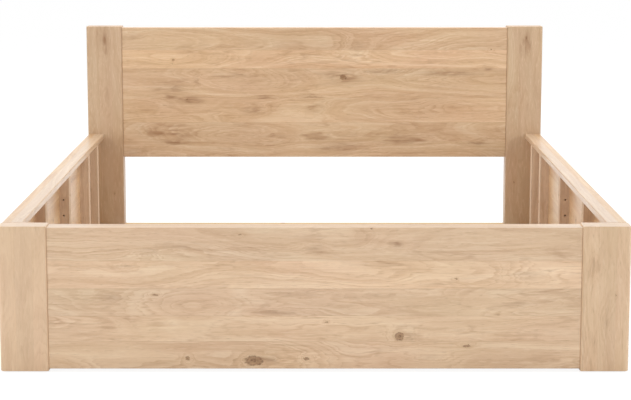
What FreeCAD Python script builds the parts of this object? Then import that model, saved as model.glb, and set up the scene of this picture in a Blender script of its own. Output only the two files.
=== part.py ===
import FreeCAD, Part
import os
import re

import Sketcher

# A wooden bed frame of solid oak: two head posts with a high panel, two foot posts with a low panel,
# and two sides that hook into the posts. Each panel is a 27 mm board doubled on its hidden side by
# strips and upright battens, so that it reads as a thick plank from above.
#
# Frame: +Z up, origin on the floor under the middle of the bed, head end towards +Y, foot end
# towards -Y. Lengths are in millimetres.

SIZES = [
    # The mattress and the room round it
    ("mattress_width", 1800),
    ("mattress_length", 2000),
    ("mattress_clearance", 8),
    ("support_height", 62),
    # Boards
    ("panel_thickness", 27),
    ("batten_thickness", 36),
    ("batten_width", 36),
    ("strip_height", 20),
    ("headboard_strip_height", 40),
    ("reveal", 3),
    ("panel_floor_gap", 11),
    ("panel_easing", 2.5),
    ("side_easing", 3),
    ("batten_easing", 2),
    # Posts
    ("post_width", 150),
    ("head_post_length", 916),
    ("foot_post_length", 455),
    ("post_easing", 5),
    ("post_end_easing", 3),
    ("front_corner_rounding", 12),
    ("glide_thickness", 3),
    ("glide_length", 110),
    ("glide_width", 40),
    # Head and foot panels
    ("head_panel_drop", 6),
    ("head_panel_height", 555),
    ("foot_panel_drop", 4),
    ("end_batten_station", 540),
    ("low_rail_thickness", 45),
    # Fitting holes in the side battens
    ("fitting_hole_radius", 3.5),
    ("fitting_hole_depth", 25),
    ("support_hole_height", 308),
    ("cross_hole_height", 294),
    ("cross_hole_spacing", 59),
    ("cross_hole_inset", 15),
    # Low supports
    ("cleat_width", 30),
    ("cleat_height", 37),
    ("beam_width", 60),
    ("hanger_thickness", 3),
    ("hanger_play", 0.3),
    ("hanger_reach", 40),
    ("hanger_cheek_height", 30),
    ("hanger_flange", 25),
    ("hanger_top_gap", 3),
    ("hanger_screw_margin", 10),
    # Levelling foot under the beam
    ("foot_pad_radius", 25),
    ("foot_pad_height", 8),
    ("foot_pad_chamfer", 1.5),
    ("foot_hex_radius", 9.5),
    ("foot_hex_height", 5),
    ("stem_radius", 5),
    ("stem_length", 35),
    ("stem_play", 0.15),
    ("foot_travel", 10),
    ("insert_radius", 7),
    ("insert_length", 20),
    ("insert_flange_radius", 11),
    ("insert_flange_thickness", 1.5),
    # Dowels
    ("dowel_radius", 5),
    ("dowel_length", 80),
    ("pin_radius", 4),
    ("pin_length", 40),
    ("dowel_play", 0.1),
    ("dowel_end_play", 0.5),
    ("dowel_margin", 35),
    ("pin_margin", 40),
    ("end_pin_margin", 30),
    # Screws
    ("screw_radius", 2),
    ("screw_head_radius", 4),
    ("screw_head_depth", 2.5),
    ("batten_screw_length", 55),
    ("cleat_screw_length", 50),
    ("fitting_screw_length", 25),
    ("screw_play", 0.1),
    # Hook-in rail fittings
    ("fitting_width", 18),
    ("fitting_height", 130),
    ("fitting_thickness", 3),
    ("fitting_level", 250),
    ("fitting_play", 0.2),
    ("fitting_screw_margin", 12),
    ("hook_spacing", 60),
    ("hook_thickness", 4),
    ("hook_reach", 14),
    ("hook_height", 12),
    ("hook_drop", 12),
    ("hook_play", 0.3),
    ("cavity_play", 2),
]
ALIASES = {alias for alias, value in SIZES}

doc = FreeCAD.newDocument("bed_frame")
sheet = doc.addObject("Spreadsheet::Sheet", "Sizes")
for row, (alias, value) in enumerate(SIZES, start=1):
    sheet.set(f"A{row}", alias)
    sheet.set(f"B{row}", str(value))
    sheet.setAlias(f"B{row}", alias)
doc.recompute()

# Places that pieces share, as expressions of the sizes. The right half (+X) and the head end (+Y)
# are given; the other half and the foot end are their negatives.
INNER_X = "((mattress_width + mattress_clearance) / 2)"
PANEL_X = f"({INNER_X} + batten_thickness)"
OUTER_X = f"({PANEL_X} + panel_thickness)"
POST_X = f"({OUTER_X} + reveal)"
POST_INNER_X = f"({POST_X} - post_width)"

INNER_Y = "((mattress_length + mattress_clearance) / 2)"
WALL_Y = f"({INNER_Y} + reveal)"
POST_Y = f"({WALL_Y} + batten_thickness + panel_thickness + reveal)"
HEAD_PANEL_BACK = f"({WALL_Y} + panel_thickness)"
HEAD_WALL_BACK = f"({HEAD_PANEL_BACK} + batten_thickness)"
FOOT_PANEL_BACK = f"-({WALL_Y} + batten_thickness)"
FOOT_PANEL_FRONT = f"-({WALL_Y} + batten_thickness + panel_thickness)"

HEAD_TOP = "(glide_thickness + head_post_length)"
FOOT_TOP = "(glide_thickness + foot_post_length)"
STRIP_BOTTOM = f"({FOOT_TOP} - strip_height)"
HEAD_PANEL_TOP = f"({HEAD_TOP} - head_panel_drop)"
HEAD_PANEL_BOTTOM = f"({HEAD_PANEL_TOP} - head_panel_height)"
FOOT_PANEL_TOP = f"({FOOT_TOP} - foot_panel_drop)"
FOOT_STRIP_BOTTOM = f"({FOOT_PANEL_TOP} - strip_height)"
BEAM_BOTTOM = "(support_height - cleat_height)"

PLANES = {"x": "YZ_Plane", "y": "XZ_Plane", "z": "XY_Plane"}
AXES = {"x": (1, 0, 0), "y": (0, 1, 0), "z": (0, 0, 1)}
NODES = {}


def bound(expression):
    """Point every size named in an expression at its cell in the sheet."""
    return re.sub(r"[a-z_]+", lambda word: f"Sizes.{word[0]}" if word[0] in ALIASES else word[0], expression)


def number(expression):
    """What an expression comes to with the sizes as they are."""
    return float(sheet.evalExpression(bound(expression)))


def place(piece, x, y, z):
    """Tie a piece's place to three expressions."""
    for axis, expression in (("x", x), ("y", y), ("z", z)):
        piece.setExpression(f"Placement.Base.{axis}", bound(expression))


def node(label, piece):
    """Name a finished piece; its label is the name of its file."""
    piece.Label = label
    NODES[label] = piece
    return piece


def outline(body, name, axis, points):
    """A closed sketch of straight lines on the body's plane across an axis, each corner tied to the sizes."""
    sketch = body.newObject("Sketcher::SketchObject", name)
    plane = next(feature for feature in body.Origin.OriginFeatures if feature.Role == PLANES[axis])
    sketch.AttachmentSupport = [(plane, "")]
    sketch.MapMode = "FlatFace"
    corners = [FreeCAD.Vector(number(across), number(up), 0) for across, up in points]
    count = len(corners)
    for index, corner in enumerate(corners):
        sketch.addGeometry(Part.LineSegment(corner, corners[(index + 1) % count]))
    for index in range(count):
        sketch.addConstraint(Sketcher.Constraint("Coincident", index, 2, (index + 1) % count, 1))
    for index, (across, up) in enumerate(points):
        for kind, letter, expression in (("DistanceX", "across", across), ("DistanceY", "up", up)):
            constraint = Sketcher.Constraint(kind, -1, 1, index, 1, number(expression))
            sketch.renameConstraint(sketch.addConstraint(constraint), f"{letter}_{index}")
            sketch.setExpression(f"Constraints.{letter}_{index}", bound(expression))
    return sketch


def padded(body, name, sketch, length, backwards=False, both_ways=False):
    """Pad a sketch to a length that is tied to the sizes."""
    pad = body.newObject("PartDesign::Pad", name)
    pad.Profile = sketch
    pad.setExpression("Length", bound(length))
    pad.Reversed = backwards
    if both_ways:
        pad.SideType = "Symmetric"
    doc.recompute()
    return pad


def edges_at(shape, sides):
    """Names of the edges that lie on every named side of a shape's box, such as "x+z+" or "z-"."""
    box = shape.BoundBox
    limits = {
        "x-": box.XMin, "x+": box.XMax, "y-": box.YMin, "y+": box.YMax, "z-": box.ZMin, "z+": box.ZMax,
    }
    wanted = [sides[at:at + 2] for at in range(0, len(sides), 2)]
    names = []
    for index, edge in enumerate(shape.Edges, start=1):
        extent = edge.BoundBox
        spans = {
            "x": (extent.XMin, extent.XMax), "y": (extent.YMin, extent.YMax), "z": (extent.ZMin, extent.ZMax),
        }
        if all(abs(end - limits[side]) < 1e-4 for side in wanted for end in spans[side[0]]):
            names.append(f"Edge{index}")
    return names


def plank(label, x, y, z, grain, easings=()):
    """A board between low and high places on each axis, sawn along its grain, with eased edges.

    Each easing is a size's name and the sides of the board whose edges it rounds.
    """
    body = doc.addObject("PartDesign::Body", label)
    spans = {"x": x, "y": y, "z": z}
    across, up = [f"({spans[axis][1]}) - ({spans[axis][0]})" for axis in "xyz" if axis != grain]
    corners = [("0", "0"), (across, "0"), (across, up), ("0", up)]
    section = outline(body, f"{label}_section", grain, corners)
    length = f"({spans[grain][1]}) - ({spans[grain][0]})"
    feature = padded(body, f"{label}_length", section, length, backwards=(grain == "y"))
    for index, (radius, sides) in enumerate(easings, start=1):
        names = []
        for side in sides.split():
            names += [name for name in edges_at(feature.Shape, side) if name not in names]
        fillet = body.newObject("PartDesign::Fillet", f"{label}_easing_{index}")
        fillet.Base = (feature, names)
        fillet.setExpression("Radius", bound(radius))
        doc.recompute()
        feature = fillet
    place(body, x[0], y[0], z[0])
    return body


def rod(name, spot, axis, radius, length):
    """A round rod, centred on a spot, along an axis."""
    cylinder = doc.addObject("Part::Cylinder", name)
    cylinder.setExpression("Radius", bound(radius))
    cylinder.setExpression("Height", bound(length))
    cylinder.Placement.Rotation = FreeCAD.Rotation(FreeCAD.Vector(0, 0, 1), FreeCAD.Vector(*AXES[axis]))
    start = [f"{value} - ({length}) / 2" if letter == axis else value for letter, value in zip("xyz", spot)]
    place(cylinder, *start)
    return cylinder


def block(name, x, y, z):
    """A box-shaped cutter between low and high places on each axis."""
    cutter = doc.addObject("Part::Box", name)
    for side, (low, high) in (("Length", x), ("Width", y), ("Height", z)):
        cutter.setExpression(side, bound(f"({high}) - ({low})"))
    place(cutter, x[0], y[0], z[0])
    return cutter


def group(name, pieces):
    """Separate solids kept together as one object."""
    compound = doc.addObject("Part::Compound", name)
    compound.Links = pieces
    return compound


def mirrored(name, source, normal):
    """A copy of a piece on the other side of the bed's middle plane across an axis."""
    copy = doc.addObject("Part::Mirroring", name)
    copy.Source = source
    copy.Normal = normal
    return copy


def both_sides(name, source):
    """A piece and its copy on the left side."""
    return group(name, [source, mirrored(f"{name}_left", source, AXES["x"])])


def both_ends(name, source):
    """A piece and its copy at the foot end."""
    return group(name, [source, mirrored(f"{name}_foot_end", source, AXES["y"])])


def cut(name, blank, cutters):
    """A blank with its holes and recesses cut by one group of cutters."""
    result = doc.addObject("Part::Cut", name)
    result.Base = blank
    result.Tool = group(f"{name}_cutters", cutters)
    return result


def dowels(name, spots, axis, size):
    """Dowels at the given spots, and the holes they sit in."""
    pieces = []
    holes = []
    for index, spot in enumerate(spots, start=1):
        pieces.append(rod(f"{name}_{index}", spot, axis, f"{size}_radius", f"{size}_length"))
        hole_length = f"({size}_length + 2 * dowel_end_play)"
        holes.append(rod(f"{name}_hole_{index}", spot, axis, f"{size}_radius + dowel_play", hole_length))
    return group(name, pieces), group(f"{name}_holes", holes)


def turned_screw(name, spot, direction, length, play):
    """A countersunk screw, or with play its hole, with its head flush at a spot."""
    head = doc.addObject("Part::Cone", f"{name}_head")
    head.setExpression("Radius1", bound(f"screw_head_radius + {play}"))
    head.setExpression("Radius2", bound(f"screw_radius + {play}"))
    head.setExpression("Height", bound("screw_head_depth"))
    shank = doc.addObject("Part::Cylinder", f"{name}_shank")
    shank.setExpression("Radius", bound(f"screw_radius + {play}"))
    shank.setExpression("Height", bound(f"{length} + {play}"))
    for part in (head, shank):
        part.Placement.Rotation = FreeCAD.Rotation(FreeCAD.Vector(0, 0, 1), FreeCAD.Vector(*direction))
        place(part, *spot)
    screw = doc.addObject("Part::Fuse", name)
    screw.Base = head
    screw.Tool = shank
    return screw


def screws(name, spots, direction, length):
    """Screws at the given spots, and the holes they are driven into."""
    pieces = []
    holes = []
    for index, spot in enumerate(spots, start=1):
        pieces.append(turned_screw(f"{name}_{index}", spot, direction, length, "0"))
        holes.append(turned_screw(f"{name}_hole_{index}", spot, direction, length, "screw_play"))
    return group(name, pieces), group(f"{name}_holes", holes)


def spread(count, low, high):
    """Evenly spaced places from low to high, as expressions."""
    steps = count - 1
    return [f"(({low}) * {steps - step} + ({high}) * {step}) / {steps}" for step in range(count)]


# Hook-in rail fittings, built for the right side at the head end. Their mating plane is the face
# where the side meets the post.
FITTING_X = f"({PANEL_X} + panel_thickness / 2)"
HOOK_FEET = ("-hook_spacing / 2", "hook_spacing / 2")


def fitting_span(margin):
    """The fitting's low and high places on X and Z, grown by a margin."""
    x = (f"{FITTING_X} - fitting_width / 2 - {margin}", f"{FITTING_X} + fitting_width / 2 + {margin}")
    z = (f"fitting_level - fitting_height / 2 - {margin}", f"fitting_level + fitting_height / 2 + {margin}")
    return x, z


def plate_body(label, backwards):
    """A fitting's flat plate on its mating plane, thickened away from it."""
    body = doc.addObject("PartDesign::Body", label)
    side = "fitting_width / 2"
    end = "fitting_height / 2"
    corners = [(f"-{side}", f"-{end}"), (side, f"-{end}"), (side, end), (f"-{side}", end)]
    sketch = outline(body, f"{label}_face", "y", corners)
    padded(body, f"{label}_plate", sketch, "fitting_thickness", backwards=backwards)
    place(body, FITTING_X, INNER_Y, "fitting_level")
    return body


def rail_hook_plate():
    """The plate let into the side's end, with two hooks that drop behind the post's plate."""
    body = plate_body("rail_hook_blank", backwards=False)
    throat = "(fitting_thickness + hook_play)"
    for index, foot in enumerate(HOOK_FEET, start=1):
        tip = f"({foot}) - hook_drop"
        top = f"({foot}) + hook_height"
        corners = [
            ("-fitting_thickness / 2", foot), (throat, foot), (throat, tip),
            ("hook_reach", tip), ("hook_reach", top), ("-fitting_thickness / 2", top),
        ]
        sketch = outline(body, f"hook_{index}_profile", "x", corners)
        padded(body, f"hook_{index}", sketch, "hook_thickness", both_ways=True)
    return body


def post_slot_plate():
    """The plate let into the post, with a slot for each hook."""
    body = plate_body("post_slot_blank", backwards=True)
    side = "(hook_thickness / 2 + hook_play)"
    for index, foot in enumerate(HOOK_FEET, start=1):
        top = f"({foot}) + hook_height + hook_drop + 2 * hook_play"
        corners = [(f"-{side}", foot), (side, foot), (side, top), (f"-{side}", top)]
        sketch = outline(body, f"slot_{index}_outline", "y", corners)
        pocket = body.newObject("PartDesign::Pocket", f"slot_{index}")
        pocket.Profile = sketch
        pocket.setExpression("Length", bound("2 * fitting_thickness"))
        pocket.Midplane = True
        doc.recompute()
    return body


screw_ends = [
    f"fitting_level {sign} (fitting_height / 2 - fitting_screw_margin)" for sign in "-+"
]
fitting_spots = [(FITTING_X, INNER_Y, z) for z in screw_ends]
rail_screws, rail_screw_holes = screws("rail_fitting_screw", fitting_spots, (0, -1, 0), "fitting_screw_length")
post_screws, post_screw_holes = screws("post_fitting_screw", fitting_spots, (0, 1, 0), "fitting_screw_length")
hook_plate = cut("rail_hook_plate", rail_hook_plate(), [rail_screw_holes])
slot_plate = cut("post_slot_plate", post_slot_plate(), [post_screw_holes])
node("rail_hook_plates", both_sides("rail_hook_plates", both_ends("rail_hook_plate_pair", hook_plate)))
node("post_slot_plates", both_sides("post_slot_plates", both_ends("post_slot_plate_pair", slot_plate)))
all_fitting_screws = group("fitting_screw_set", [rail_screws, post_screws])
node("fitting_screws", both_sides("fitting_screws", both_ends("fitting_screw_pair", all_fitting_screws)))

recess_x, recess_z = fitting_span("fitting_play")
rail_recess = block("rail_recess", recess_x, (f"{INNER_Y} - fitting_thickness", f"{INNER_Y} + reveal"), recess_z)
post_recess = block("post_recess", recess_x, (f"{INNER_Y} - reveal", f"{INNER_Y} + fitting_thickness"), recess_z)
hook_cavity = block(
    "hook_cavity",
    (f"{FITTING_X} - hook_thickness / 2 - cavity_play", f"{FITTING_X} + hook_thickness / 2 + cavity_play"),
    (INNER_Y, f"{INNER_Y} + hook_reach + cavity_play"),
    (
        "fitting_level - hook_spacing / 2 - hook_drop - cavity_play",
        "fitting_level + hook_spacing / 2 + hook_height + hook_drop + cavity_play",
    ),
)
rail_cutters = both_ends("rail_fitting_cutters", group("rail_cutter_set", [rail_recess, rail_screw_holes]))
head_post_fitting = group("head_post_fitting_cutters", [post_recess, hook_cavity, post_screw_holes])
foot_post_fitting = mirrored("foot_post_fitting_cutters", head_post_fitting, AXES["y"])

# Dowels that join the posts to what stands between them, on the right side.
HEAD_MID_Y = f"({WALL_Y} + panel_thickness / 2)"
FOOT_MID_Y = f"(-({WALL_Y} + batten_thickness + panel_thickness / 2))"
LOW_RAIL_MID_Y = f"({WALL_Y} + low_rail_thickness / 2)"
head_heights = spread(7, f"{HEAD_PANEL_BOTTOM} + dowel_margin", f"{HEAD_PANEL_TOP} - dowel_margin")
foot_heights = spread(6, "panel_floor_gap + dowel_margin", f"{FOOT_PANEL_TOP} - dowel_margin")
rail_mid_z = "(panel_floor_gap + support_height) / 2"
rail_dowel_y = [f"{LOW_RAIL_MID_Y} - 2 * dowel_radius", f"{LOW_RAIL_MID_Y} + 2 * dowel_radius"]
head_dowels, head_dowel_holes = dowels(
    "head_dowel", [(POST_INNER_X, HEAD_MID_Y, z) for z in head_heights], "x", "dowel")
foot_dowels, foot_dowel_holes = dowels(
    "foot_dowel", [(POST_INNER_X, FOOT_MID_Y, z) for z in foot_heights], "x", "dowel")
rail_dowels, rail_dowel_holes = dowels(
    "low_rail_dowel", [(POST_INNER_X, y, rail_mid_z) for y in rail_dowel_y], "x", "dowel")
node("headboard_dowels", both_sides("headboard_dowels", head_dowels))
node("footboard_dowels", both_sides("footboard_dowels", foot_dowels))
node("low_rail_dowels", both_sides("low_rail_dowels", rail_dowels))

# Posts: planks on end. The front outer corner of a foot post is rounded more than the others.
head_post_blank = plank(
    "head_post_blank", (POST_INNER_X, POST_X), (INNER_Y, POST_Y), ("glide_thickness", HEAD_TOP), "z",
    [("post_easing", "x-y- x+y- x-y+ x+y+"), ("post_end_easing", "z- z+")])
foot_post_blank = plank(
    "foot_post_blank", (POST_INNER_X, POST_X), (f"-{POST_Y}", f"-{INNER_Y}"), ("glide_thickness", FOOT_TOP), "z",
    [("front_corner_rounding", "x+y-"), ("post_easing", "x-y- x-y+ x+y+"), ("post_end_easing", "z- z+")])
head_post = cut("head_post_right", head_post_blank, [head_post_fitting, head_dowel_holes, rail_dowel_holes])
foot_post = cut("foot_post_right", foot_post_blank, [foot_post_fitting, foot_dowel_holes])
node("head_post_right", head_post)
node("foot_post_right", foot_post)
node("head_post_left", mirrored("head_post_left", head_post, AXES["x"]))
node("foot_post_left", mirrored("foot_post_left", foot_post, AXES["x"]))

glide_x = f"({POST_X} - post_width / 2)"
glide_y = f"({INNER_Y} + {POST_Y}) / 2"
glide = plank(
    "glide", (f"{glide_x} - glide_length / 2", f"{glide_x} + glide_length / 2"),
    (f"{glide_y} - glide_width / 2", f"{glide_y} + glide_width / 2"), ("0", "glide_thickness"), "z")
node("post_glides", both_sides("post_glides", both_ends("glide_pair", glide)))

# Sides, on the right: panel, strips along its inner top and bottom, upright battens, low cleat.
SIDE_Y = (f"-{INNER_Y}", INNER_Y)
DOUBLING_X = (INNER_X, PANEL_X)
# The battens stand at the quarters of the overall length, with one more half-way to the head end.
QUARTER = f"({POST_Y} / 2)"
STATIONS = {1: f"-{QUARTER}", 2: "0", 3: QUARTER, 4: f"(1.5 * {QUARTER})"}
strip_pin_y = spread(6, f"-{INNER_Y} + pin_margin", f"{INNER_Y} - pin_margin")
batten_pin_z = ["support_height + pin_margin", f"{STRIP_BOTTOM} - pin_margin"]
top_pin_z = f"{FOOT_TOP} - strip_height / 2"
low_pin_z = "(panel_floor_gap + support_height) / 2"
side_spots = [(PANEL_X, y, z) for z in (top_pin_z, low_pin_z) for y in strip_pin_y]
side_spots += [(PANEL_X, station, z) for station in STATIONS.values() for z in batten_pin_z]
side_pins, side_pin_holes = dowels("side_dowel", side_spots, "x", "pin")
node("side_dowels", both_sides("side_dowels", side_pins))

cleat_screw_y = spread(6, "-mattress_length / 2 + 2 * pin_margin", "mattress_length / 2 - 2 * pin_margin")
cleat_z = "support_height - cleat_height / 2"
cleat_spots = [(f"{INNER_X} - cleat_width", y, cleat_z) for y in cleat_screw_y]
cleat_screws, cleat_screw_holes = screws("cleat_screw", cleat_spots, (1, 0, 0), "cleat_screw_length")
node("cleat_screws", both_sides("cleat_screws", cleat_screws))

side_pieces = {
    "side_panel": cut("side_panel_right", plank(
        "side_panel_blank", (PANEL_X, OUTER_X), SIDE_Y, ("panel_floor_gap", FOOT_TOP), "y",
        [("side_easing", "x+")]), [rail_cutters, side_pin_holes]),
    "side_top_strip": cut("side_top_strip_right", plank(
        "side_top_strip_blank", DOUBLING_X, SIDE_Y, (STRIP_BOTTOM, FOOT_TOP), "y",
        [("side_easing", "x-z+")]), [side_pin_holes]),
    "side_bottom_strip": cut("side_bottom_strip_right", plank(
        "side_bottom_strip_blank", DOUBLING_X, SIDE_Y, ("panel_floor_gap", "support_height"), "y"),
        [side_pin_holes, cleat_screw_holes]),
    "side_cleat": cut("side_cleat_right", plank(
        "side_cleat_blank", (f"{INNER_X} - cleat_width", INNER_X), ("-mattress_length / 2", "mattress_length / 2"),
        (BEAM_BOTTOM, "support_height"), "y", [("batten_easing", "x-z+ x-z-")]), [cleat_screw_holes]),
}
hole_reach = "2 * fitting_hole_depth"
for index, station in STATIONS.items():
    blank = plank(
        f"side_batten_{index}_blank", DOUBLING_X,
        (f"{station} - batten_width / 2", f"{station} + batten_width / 2"), ("support_height", STRIP_BOTTOM), "z",
        [("batten_easing", "x-y- x-y+")])
    hole = rod(f"support_hole_{index}", (INNER_X, station, "support_hole_height"), "x",
               "fitting_hole_radius", hole_reach)
    cutters = [side_pin_holes, hole]
    if station == "0":
        cross_x = f"{PANEL_X} - cross_hole_inset"
        for level in ("cross_hole_height", "cross_hole_height + cross_hole_spacing"):
            spot = (cross_x, "-batten_width / 2", level)
            cutters.append(rod(f"cross_hole_{len(cutters)}", spot, "y", "fitting_hole_radius", hole_reach))
    side_pieces[f"side_batten_{index}"] = cut(f"side_batten_{index}_right", blank, cutters)
for name, piece in side_pieces.items():
    node(f"{name}_right", piece)
    node(f"{name}_left", mirrored(f"{name}_left", piece, AXES["x"]))

# Footboard and headboard: a panel between the posts, doubled on its hidden side.
PANEL_SPAN = (f"-{POST_INNER_X}", POST_INNER_X)
END_STATIONS = {"left": "-end_batten_station", "middle": "0", "right": "end_batten_station"}
END_PIN_X = f"({POST_INNER_X} - dowel_length / 2 - end_pin_margin)"
strip_pin_x = spread(6, f"-{END_PIN_X}", END_PIN_X)


def batten_span(station):
    """Low and high place of a batten of the head or foot end, across the bed."""
    return (f"{station} - batten_width / 2", f"{station} + batten_width / 2")


foot_pin_z = [f"{FOOT_PANEL_TOP} - strip_height / 2", low_pin_z]
foot_spots = [(x, FOOT_PANEL_BACK, z) for z in foot_pin_z for x in strip_pin_x]
foot_batten_z = ["support_height + pin_margin", f"{FOOT_STRIP_BOTTOM} - pin_margin"]
foot_spots += [(x, FOOT_PANEL_BACK, z) for x in END_STATIONS.values() for z in foot_batten_z]
foot_pins, foot_pin_holes = dowels("footboard_pin", foot_spots, "y", "pin")
node("footboard_strip_dowels", foot_pins)

hanger_screw_x = "beam_width / 2 + hanger_flange - hanger_screw_margin"
hanger_screw_z = [f"{BEAM_BOTTOM} + hanger_screw_margin", "support_height - hanger_top_gap - hanger_screw_margin"]
hanger_spots = [
    (f"{sign}({hanger_screw_x})", f"{WALL_Y} - hanger_thickness", z) for sign in ("-", "")
    for z in hanger_screw_z
]
hanger_screws, hanger_screw_holes = screws("hanger_screw", hanger_spots, (0, 1, 0), "fitting_screw_length")
foot_hanger_holes = mirrored("foot_hanger_holes", hanger_screw_holes, AXES["y"])
node("hanger_screws", both_ends("hanger_screws", hanger_screws))

both_foot_dowel_holes = both_sides("both_foot_dowel_holes", foot_dowel_holes)
foot_doubling_y = (FOOT_PANEL_BACK, f"-{WALL_Y}")
node("footboard_panel", cut("footboard_panel", plank(
    "footboard_blank", PANEL_SPAN, (FOOT_PANEL_FRONT, FOOT_PANEL_BACK), ("panel_floor_gap", FOOT_PANEL_TOP), "x",
    [("panel_easing", "y-")]), [both_foot_dowel_holes, foot_pin_holes]))
node("footboard_top_strip", cut("footboard_top_strip", plank(
    "footboard_top_strip_blank", PANEL_SPAN, foot_doubling_y, (FOOT_STRIP_BOTTOM, FOOT_PANEL_TOP), "x",
    [("panel_easing", "y+z+")]), [foot_pin_holes]))
node("footboard_bottom_strip", cut("footboard_bottom_strip", plank(
    "footboard_bottom_strip_blank", PANEL_SPAN, foot_doubling_y, ("panel_floor_gap", "support_height"), "x"),
    [foot_pin_holes, foot_hanger_holes]))
for name, station in END_STATIONS.items():
    node(f"footboard_batten_{name}", cut(f"footboard_batten_{name}", plank(
        f"footboard_batten_{name}_blank", batten_span(station), foot_doubling_y,
        ("support_height", FOOT_STRIP_BOTTOM), "z", [("batten_easing", "x-y+ x+y+")]), [foot_pin_holes]))

head_low_z = f"{HEAD_PANEL_BOTTOM} + headboard_strip_height / 2"
head_top_z = f"{HEAD_PANEL_TOP} - strip_height / 2"
head_spots = [(x, HEAD_WALL_BACK, z) for z in (head_low_z, head_top_z) for x in strip_pin_x]
head_batten_low = f"{HEAD_PANEL_BOTTOM} + headboard_strip_height"
head_batten_top = f"{HEAD_PANEL_TOP} - strip_height"
head_batten_z = [f"{head_batten_low} + 2 * pin_margin", f"{head_batten_top} - 2 * pin_margin"]
head_spots += [(x, HEAD_WALL_BACK, z) for x in END_STATIONS.values() for z in head_batten_z]
head_screws, head_screw_holes = screws("headboard_screw", head_spots, (0, -1, 0), "batten_screw_length")
node("headboard_screws", head_screws)

both_head_dowel_holes = both_sides("both_head_dowel_holes", head_dowel_holes)
both_rail_dowel_holes = both_sides("both_rail_dowel_holes", rail_dowel_holes)
head_doubling_y = (HEAD_PANEL_BACK, HEAD_WALL_BACK)
node("headboard_panel", cut("headboard_panel", plank(
    "headboard_blank", PANEL_SPAN, (WALL_Y, HEAD_PANEL_BACK), (HEAD_PANEL_BOTTOM, HEAD_PANEL_TOP), "x",
    [("panel_easing", "y-")]), [both_head_dowel_holes, head_screw_holes]))
node("headboard_top_strip", cut("headboard_top_strip", plank(
    "headboard_top_strip_blank", PANEL_SPAN, head_doubling_y, (head_batten_top, HEAD_PANEL_TOP), "x",
    [("panel_easing", "y+z+")]), [head_screw_holes]))
node("headboard_bottom_strip", cut("headboard_bottom_strip", plank(
    "headboard_bottom_strip_blank", PANEL_SPAN, head_doubling_y, (HEAD_PANEL_BOTTOM, head_batten_low), "x",
    [("panel_easing", "y+z-")]), [head_screw_holes]))
for name, station in END_STATIONS.items():
    node(f"headboard_batten_{name}", cut(f"headboard_batten_{name}", plank(
        f"headboard_batten_{name}_blank", batten_span(station), head_doubling_y,
        (head_batten_low, head_batten_top), "z", [("batten_easing", "x-y+ x+y+")]), [head_screw_holes]))
node("head_low_rail", cut("head_low_rail", plank(
    "head_low_rail_blank", PANEL_SPAN, (WALL_Y, f"{WALL_Y} + low_rail_thickness"),
    ("panel_floor_gap", "support_height"), "x", [("batten_easing", "y-z+ y-z-")]),
    [both_rail_dowel_holes, hanger_screw_holes]))


def turned(label, points):
    """A piece turned about its own upright axis from a half section of radius and height."""
    body = doc.addObject("PartDesign::Body", label)
    sketch = outline(body, f"{label}_section", "y", points)
    turn = body.newObject("PartDesign::Revolution", f"{label}_turn")
    turn.Profile = sketch
    turn.ReferenceAxis = (sketch, ["V_Axis"])
    turn.Angle = 360
    doc.recompute()
    return body


# Levelling foot under the middle of the beam: pad, threaded stem with a hexagon to turn it by, insert.
PAD_TOP = "foot_pad_height"
pad = turned("centre_foot_pad", [
    ("0", "0"), ("foot_pad_radius", "0"), ("foot_pad_radius", "foot_pad_height - foot_pad_chamfer"),
    ("foot_pad_radius - foot_pad_chamfer", "foot_pad_height"), ("0", "foot_pad_height"),
])
node("centre_foot_pad", pad)

stem = doc.addObject("PartDesign::Body", "centre_foot_stem")
flats = [(f"foot_hex_radius * cos({60 * turn})", f"foot_hex_radius * sin({60 * turn})") for turn in range(6)]
padded(stem, "stem_hexagon", outline(stem, "stem_hexagon_outline", "z", flats), "foot_hex_height")
shaft = rod("stem_shaft", ("0", "0", f"{PAD_TOP} + stem_length / 2"), "z", "stem_radius", "stem_length")
place(stem, "0", "0", PAD_TOP)
stem_join = doc.addObject("Part::Fuse", "stem_join")
stem_join.Base = stem
stem_join.Tool = shaft
node("centre_foot_stem", stem_join)
stem.Label = "stem_hexagon_body"

insert = turned("centre_foot_insert", [
    ("stem_radius + stem_play", "-insert_flange_thickness"), ("insert_flange_radius", "-insert_flange_thickness"),
    ("insert_flange_radius", "0"), ("insert_radius", "0"), ("insert_radius", "insert_length"),
    ("stem_radius + stem_play", "insert_length"),
])
place(insert, "0", "0", BEAM_BOTTOM)
node("centre_foot_insert", insert)

# Centre beam, hung between the low rail and the footboard's bottom strip.
insert_hole = rod("insert_hole", ("0", "0", BEAM_BOTTOM), "z", "insert_radius + dowel_play", "2 * insert_length")
stem_top = f"{PAD_TOP} + stem_length + foot_travel"
stem_hole_length = f"2 * ({stem_top} + cavity_play - {BEAM_BOTTOM})"
stem_hole = rod("stem_hole", ("0", "0", BEAM_BOTTOM), "z", "stem_radius + 2 * stem_play", stem_hole_length)
beam_end = f"({WALL_Y} - hanger_thickness)"
node("centre_beam", cut("centre_beam", plank(
    "centre_beam_blank", ("-beam_width / 2", "beam_width / 2"), (f"-{beam_end}", beam_end),
    (BEAM_BOTTOM, "support_height"), "y", [("batten_easing", "x-z+ x+z+ x-z- x+z-")]), [insert_hole, stem_hole]))


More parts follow.
